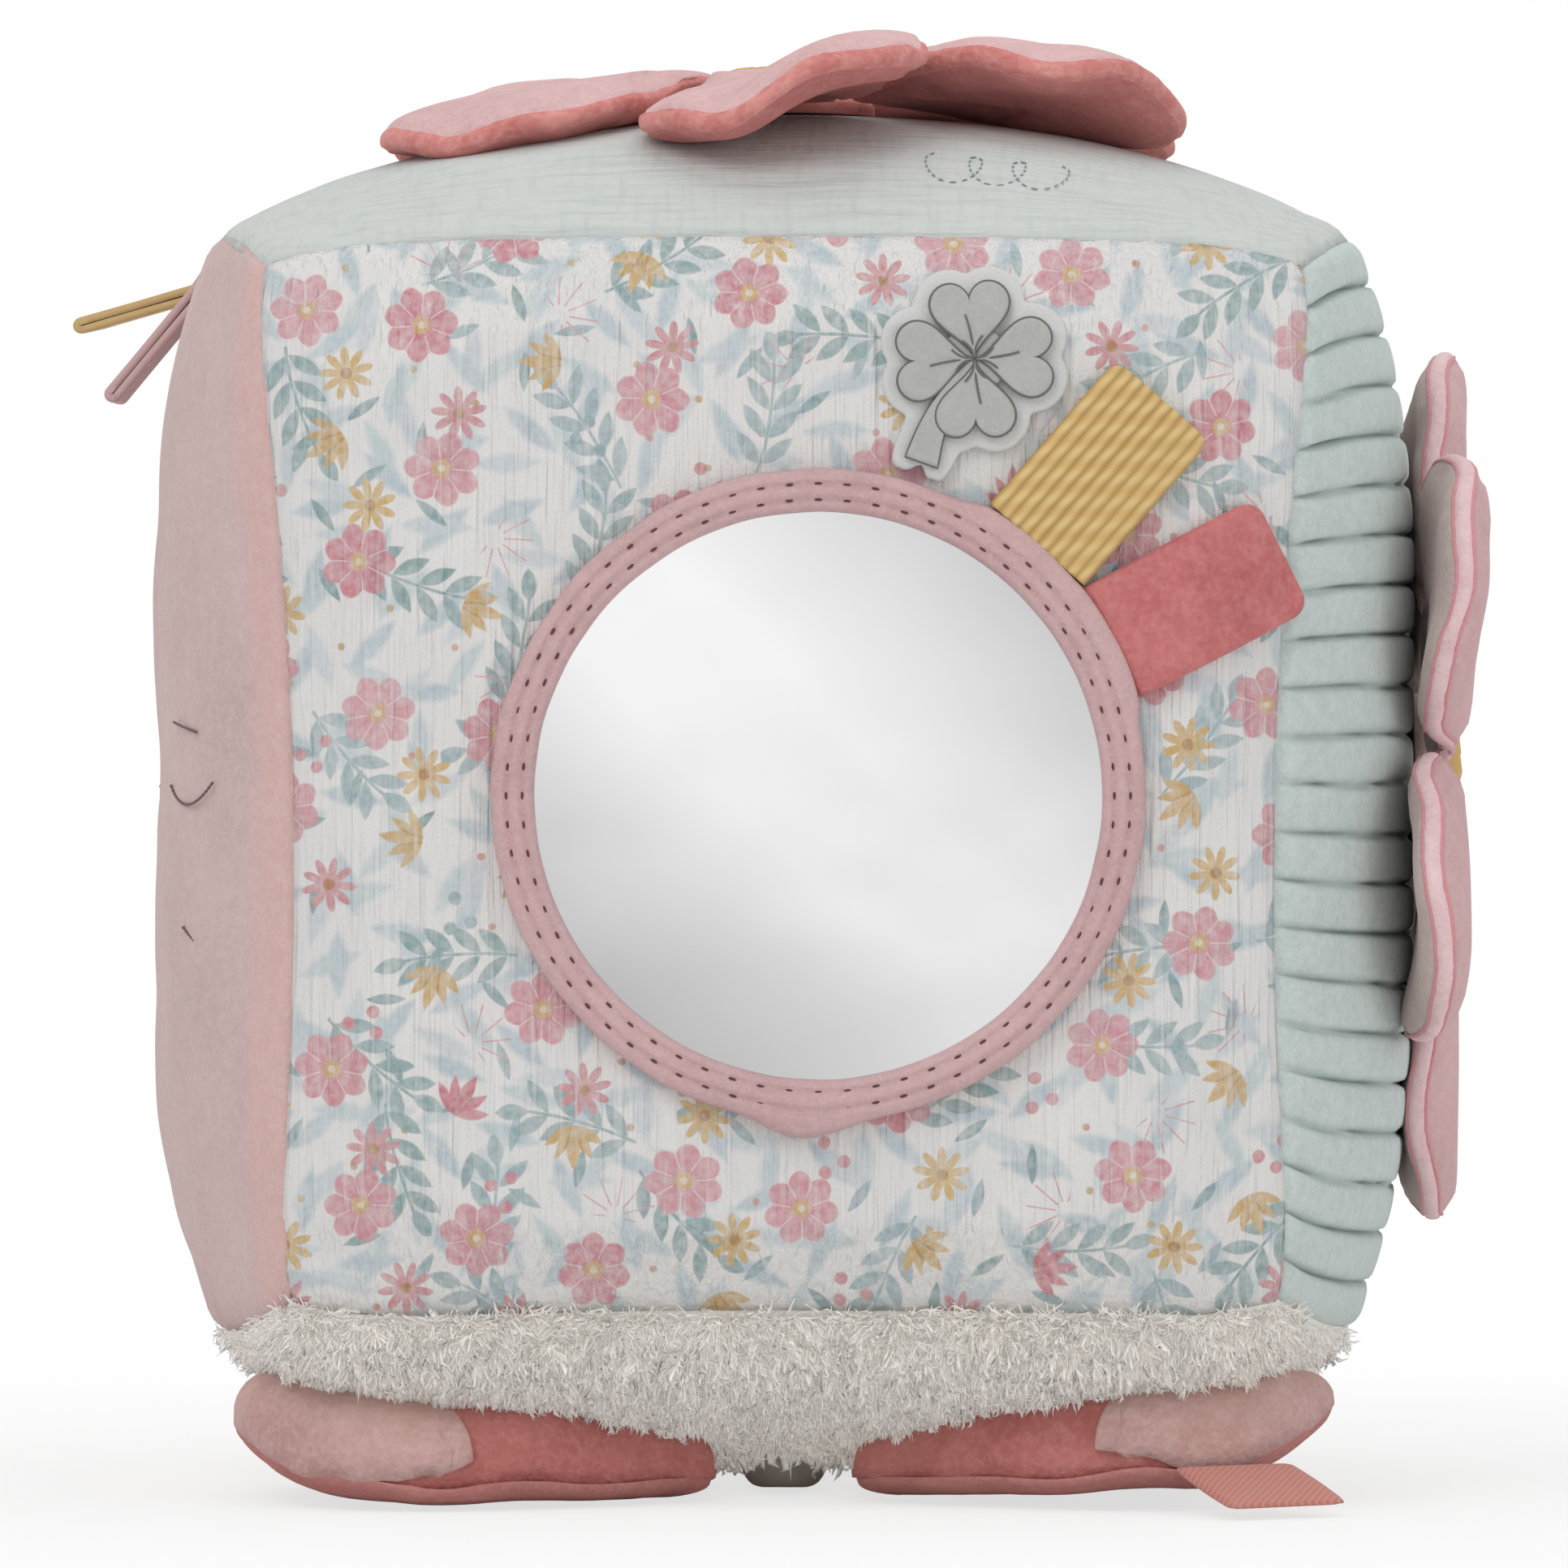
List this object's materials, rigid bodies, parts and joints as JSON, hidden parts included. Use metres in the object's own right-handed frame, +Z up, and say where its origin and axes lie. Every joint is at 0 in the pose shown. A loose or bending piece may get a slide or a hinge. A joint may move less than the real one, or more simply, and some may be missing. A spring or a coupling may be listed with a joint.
{
  "type": "soft fabric activity block",
  "caption": "Stuffed fabric cube for a baby, with a round mirror, fold-up ribbon tags, padded flowers on top and side, and a padded butterfly underneath.",
  "frame": {"origin": "on the flat underside of the butterfly's body, under the middle of the cube, where it rests", "axes": "+Z up, the mirror faces -Y, the ribbed side faces +X"},
  "size_m": [0.2077, 0.1713, 0.207],
  "materials": {
    "coral_velour": "short-pile velour",
    "dusty_velour": "short-pile velour",
    "fibre": "loose polyester fibre",
    "foam": "soft foam",
    "grey_velour": "short-pile velour",
    "label_twill": "woven twill",
    "mint_plush": "wide-wale plush",
    "mirror": "flexible mirror sheet",
    "mustard_ribbon": "corded ribbon",
    "pale_mint_cloth": "crinkle fabric",
    "pale_pink_velour": "short-pile velour",
    "petal_velour": "short-pile velour",
    "printed_cotton": "crinkled printed cotton",
    "rim_velour": "velour with two rows of stitching",
    "teddy": "curly teddy plush",
    "white_felt": "die-cut felt"
  },
  "bodies": {
    "block": {"back_panel": "printed_cotton", "bottom_panel": "teddy", "butterfly_body": "coral_velour", "fibre_filling": "fibre", "front_panel": "printed_cotton", "left_panel": "dusty_velour", "mirror_disc": "mirror", "mirror_foam": "foam", "mirror_rim": "rim_velour", "right_panel": "mint_plush", "side_flower_base": "petal_velour", "side_flower_button": "mustard_ribbon", "top_flower_base": "petal_velour", "top_flower_button": "mustard_ribbon", "top_panel": "pale_mint_cloth"},
    "clover_tag": {"clover_backing": "white_felt", "clover_leaf": "grey_velour"},
    "coral_tag": {"coral_tag": "coral_velour"},
    "left_forewing": {"left_forewing_lining": "coral_velour", "left_forewing_root_lobe": "coral_velour", "left_forewing_tip_lobe": "pale_pink_velour"},
    "left_hindwing": {"left_hindwing_face": "pale_pink_velour", "left_hindwing_lining": "coral_velour"},
    "mustard_loop": {"mustard_loop": "mustard_ribbon"},
    "mustard_tag": {"mustard_tag": "mustard_ribbon"},
    "pink_loop": {"pink_loop": "dusty_velour"},
    "right_forewing": {"right_forewing_lining": "coral_velour", "right_forewing_root_lobe": "coral_velour", "right_forewing_tip_lobe": "pale_pink_velour"},
    "right_hindwing": {"right_hindwing_face": "pale_pink_velour", "right_hindwing_lining": "coral_velour"},
    "sewn_label": {"sewn_label": "label_twill"},
    "side_flower_petal_1": {"side_flower_petal_1_face": "petal_velour", "side_flower_petal_1_lining": "coral_velour"},
    "side_flower_petal_2": {"side_flower_petal_2_face": "petal_velour", "side_flower_petal_2_lining": "coral_velour"},
    "side_flower_petal_3": {"side_flower_petal_3_face": "petal_velour", "side_flower_petal_3_lining": "coral_velour"},
    "side_flower_petal_4": {"side_flower_petal_4_face": "petal_velour", "side_flower_petal_4_lining": "coral_velour"},
    "side_flower_petal_5": {"side_flower_petal_5_face": "petal_velour", "side_flower_petal_5_lining": "coral_velour"},
    "side_flower_petal_6": {"side_flower_petal_6_face": "petal_velour", "side_flower_petal_6_lining": "coral_velour"},
    "top_flower_petal_1": {"top_flower_petal_1_face": "petal_velour", "top_flower_petal_1_lining": "coral_velour"},
    "top_flower_petal_2": {"top_flower_petal_2_face": "petal_velour", "top_flower_petal_2_lining": "coral_velour"},
    "top_flower_petal_3": {"top_flower_petal_3_face": "petal_velour", "top_flower_petal_3_lining": "coral_velour"},
    "top_flower_petal_4": {"top_flower_petal_4_face": "petal_velour", "top_flower_petal_4_lining": "coral_velour"},
    "top_flower_petal_5": {"top_flower_petal_5_face": "petal_velour", "top_flower_petal_5_lining": "coral_velour"},
    "top_flower_petal_6": {"top_flower_petal_6_face": "petal_velour", "top_flower_petal_6_lining": "coral_velour"}
  },
  "joints": [
    {"name": "clover_tag_fold", "type": "hinge", "parent": "block", "child": "clover_tag", "pos_m": [0.02048, -0.0816, 0.14346], "axis": [0.9415, 0, -0.3371], "range_deg": [0, 60], "stiffness_Nm_per_rad": 0.006, "springref_deg": -8.59},
    {"name": "coral_tag_fold", "type": "hinge", "parent": "block", "child": "coral_tag", "pos_m": [0.04621, -0.0819, 0.12101], "axis": [0.4617, 0, -0.887], "range_deg": [0, 100], "stiffness_Nm_per_rad": 0.006, "springref_deg": -8.59},
    {"name": "left_forewing_fold", "type": "hinge", "parent": "block", "child": "left_forewing", "pos_m": [-0.0096, -0.026, 0.0031], "axis": [0, -1, 0], "range_deg": [0, 70], "stiffness_Nm_per_rad": 0.05, "springref_deg": -8.59},
    {"name": "left_hindwing_fold", "type": "hinge", "parent": "block", "child": "left_hindwing", "pos_m": [-0.0096, 0.022, 0.0031], "axis": [0, -1, 0], "range_deg": [0, 60], "stiffness_Nm_per_rad": 0.04, "springref_deg": -8.59},
    {"name": "mustard_loop_fold", "type": "hinge", "parent": "block", "child": "mustard_loop", "pos_m": [-0.07823, 0.058, 0.17818], "axis": [0.2307, 0.9587, -0.1663], "range_deg": [-30, 75], "stiffness_Nm_per_rad": 0.008},
    {"name": "mustard_tag_fold", "type": "hinge", "parent": "block", "child": "mustard_tag", "pos_m": [0.03547, -0.0821, 0.13467], "axis": [0.7536, 0, -0.6574], "range_deg": [0, 90], "stiffness_Nm_per_rad": 0.006, "springref_deg": -8.59},
    {"name": "pink_loop_fold", "type": "hinge", "parent": "block", "child": "pink_loop", "pos_m": [-0.08155, 0.036, 0.1803], "axis": [0.1002, 0.9932, -0.0588], "range_deg": [-5, 100], "stiffness_Nm_per_rad": 0.008},
    {"name": "right_forewing_fold", "type": "hinge", "parent": "block", "child": "right_forewing", "pos_m": [0.0096, -0.026, 0.0031], "axis": [0, 1, 0], "range_deg": [0, 70], "stiffness_Nm_per_rad": 0.05, "springref_deg": -8.59},
    {"name": "right_hindwing_fold", "type": "hinge", "parent": "block", "child": "right_hindwing", "pos_m": [0.0096, 0.022, 0.0031], "axis": [0, 1, 0], "range_deg": [0, 60], "stiffness_Nm_per_rad": 0.04, "springref_deg": -8.59},
    {"name": "sewn_label_fold", "type": "hinge", "parent": "right_forewing", "child": "sewn_label", "pos_m": [0.0626, -0.06738, 0.00598], "axis": [-0.8887, -0.4584, 0], "range_deg": [0, 70], "stiffness_Nm_per_rad": 0.003, "springref_deg": -5.73},
    {"name": "side_flower_petal_1_fold", "type": "hinge", "parent": "block", "child": "side_flower_petal_1", "pos_m": [0.0944, 0.00239, 0.11798], "axis": [0, 0.9903, -0.1392], "range_deg": [0, 85], "stiffness_Nm_per_rad": 0.02, "springref_deg": -6.88},
    {"name": "side_flower_petal_2_fold", "type": "hinge", "parent": "block", "child": "side_flower_petal_2", "pos_m": [0.0944, -0.01351, 0.11156], "axis": [0, 0.6157, 0.788], "range_deg": [0, 25], "stiffness_Nm_per_rad": 0.02, "springref_deg": -6.88},
    {"name": "side_flower_petal_3_fold", "type": "hinge", "parent": "block", "child": "side_flower_petal_3", "pos_m": [0.0944, -0.0159, 0.09458], "axis": [0, -0.3746, 0.9272], "range_deg": [0, 85], "stiffness_Nm_per_rad": 0.02, "springref_deg": -6.88},
    {"name": "side_flower_petal_4_fold", "type": "hinge", "parent": "block", "child": "side_flower_petal_4", "pos_m": [0.0944, -0.00239, 0.08402], "axis": [0, -0.9903, 0.1392], "range_deg": [0, 25], "stiffness_Nm_per_rad": 0.02, "springref_deg": -6.88},
    {"name": "side_flower_petal_5_fold", "type": "hinge", "parent": "block", "child": "side_flower_petal_5", "pos_m": [0.0944, 0.01351, 0.09044], "axis": [0, -0.6157, -0.788], "range_deg": [0, 85], "stiffness_Nm_per_rad": 0.02, "springref_deg": -6.88},
    {"name": "side_flower_petal_6_fold", "type": "hinge", "parent": "block", "child": "side_flower_petal_6", "pos_m": [0.0944, 0.0159, 0.10743], "axis": [0, 0.3746, -0.9272], "range_deg": [0, 25], "stiffness_Nm_per_rad": 0.02, "springref_deg": -6.88},
    {"name": "top_flower_petal_1_fold", "type": "hinge", "parent": "block", "child": "top_flower_petal_1", "pos_m": [0, -0.01715, 0.2012], "axis": [-1, 0, 0], "range_deg": [0, 85], "stiffness_Nm_per_rad": 0.02, "springref_deg": -6.88},
    {"name": "top_flower_petal_2_fold", "type": "hinge", "parent": "block", "child": "top_flower_petal_2", "pos_m": [0.01485, -0.00857, 0.2012], "axis": [-0.5, -0.866, 0], "range_deg": [0, 25], "stiffness_Nm_per_rad": 0.02, "springref_deg": -6.88},
    {"name": "top_flower_petal_3_fold", "type": "hinge", "parent": "block", "child": "top_flower_petal_3", "pos_m": [0.01485, 0.00857, 0.2012], "axis": [0.5, -0.866, 0], "range_deg": [0, 85], "stiffness_Nm_per_rad": 0.02, "springref_deg": -6.88},
    {"name": "top_flower_petal_4_fold", "type": "hinge", "parent": "block", "child": "top_flower_petal_4", "pos_m": [0, 0.01715, 0.2012], "axis": [1, 0, 0], "range_deg": [0, 25], "stiffness_Nm_per_rad": 0.02, "springref_deg": -6.88},
    {"name": "top_flower_petal_5_fold", "type": "hinge", "parent": "block", "child": "top_flower_petal_5", "pos_m": [-0.01485, 0.00857, 0.2012], "axis": [0.5, 0.866, 0], "range_deg": [0, 85], "stiffness_Nm_per_rad": 0.02, "springref_deg": -6.88},
    {"name": "top_flower_petal_6_fold", "type": "hinge", "parent": "block", "child": "top_flower_petal_6", "pos_m": [-0.01485, -0.00857, 0.2012], "axis": [-0.5, 0.866, 0], "range_deg": [0, 25], "stiffness_Nm_per_rad": 0.02, "springref_deg": -6.88}
  ]
}
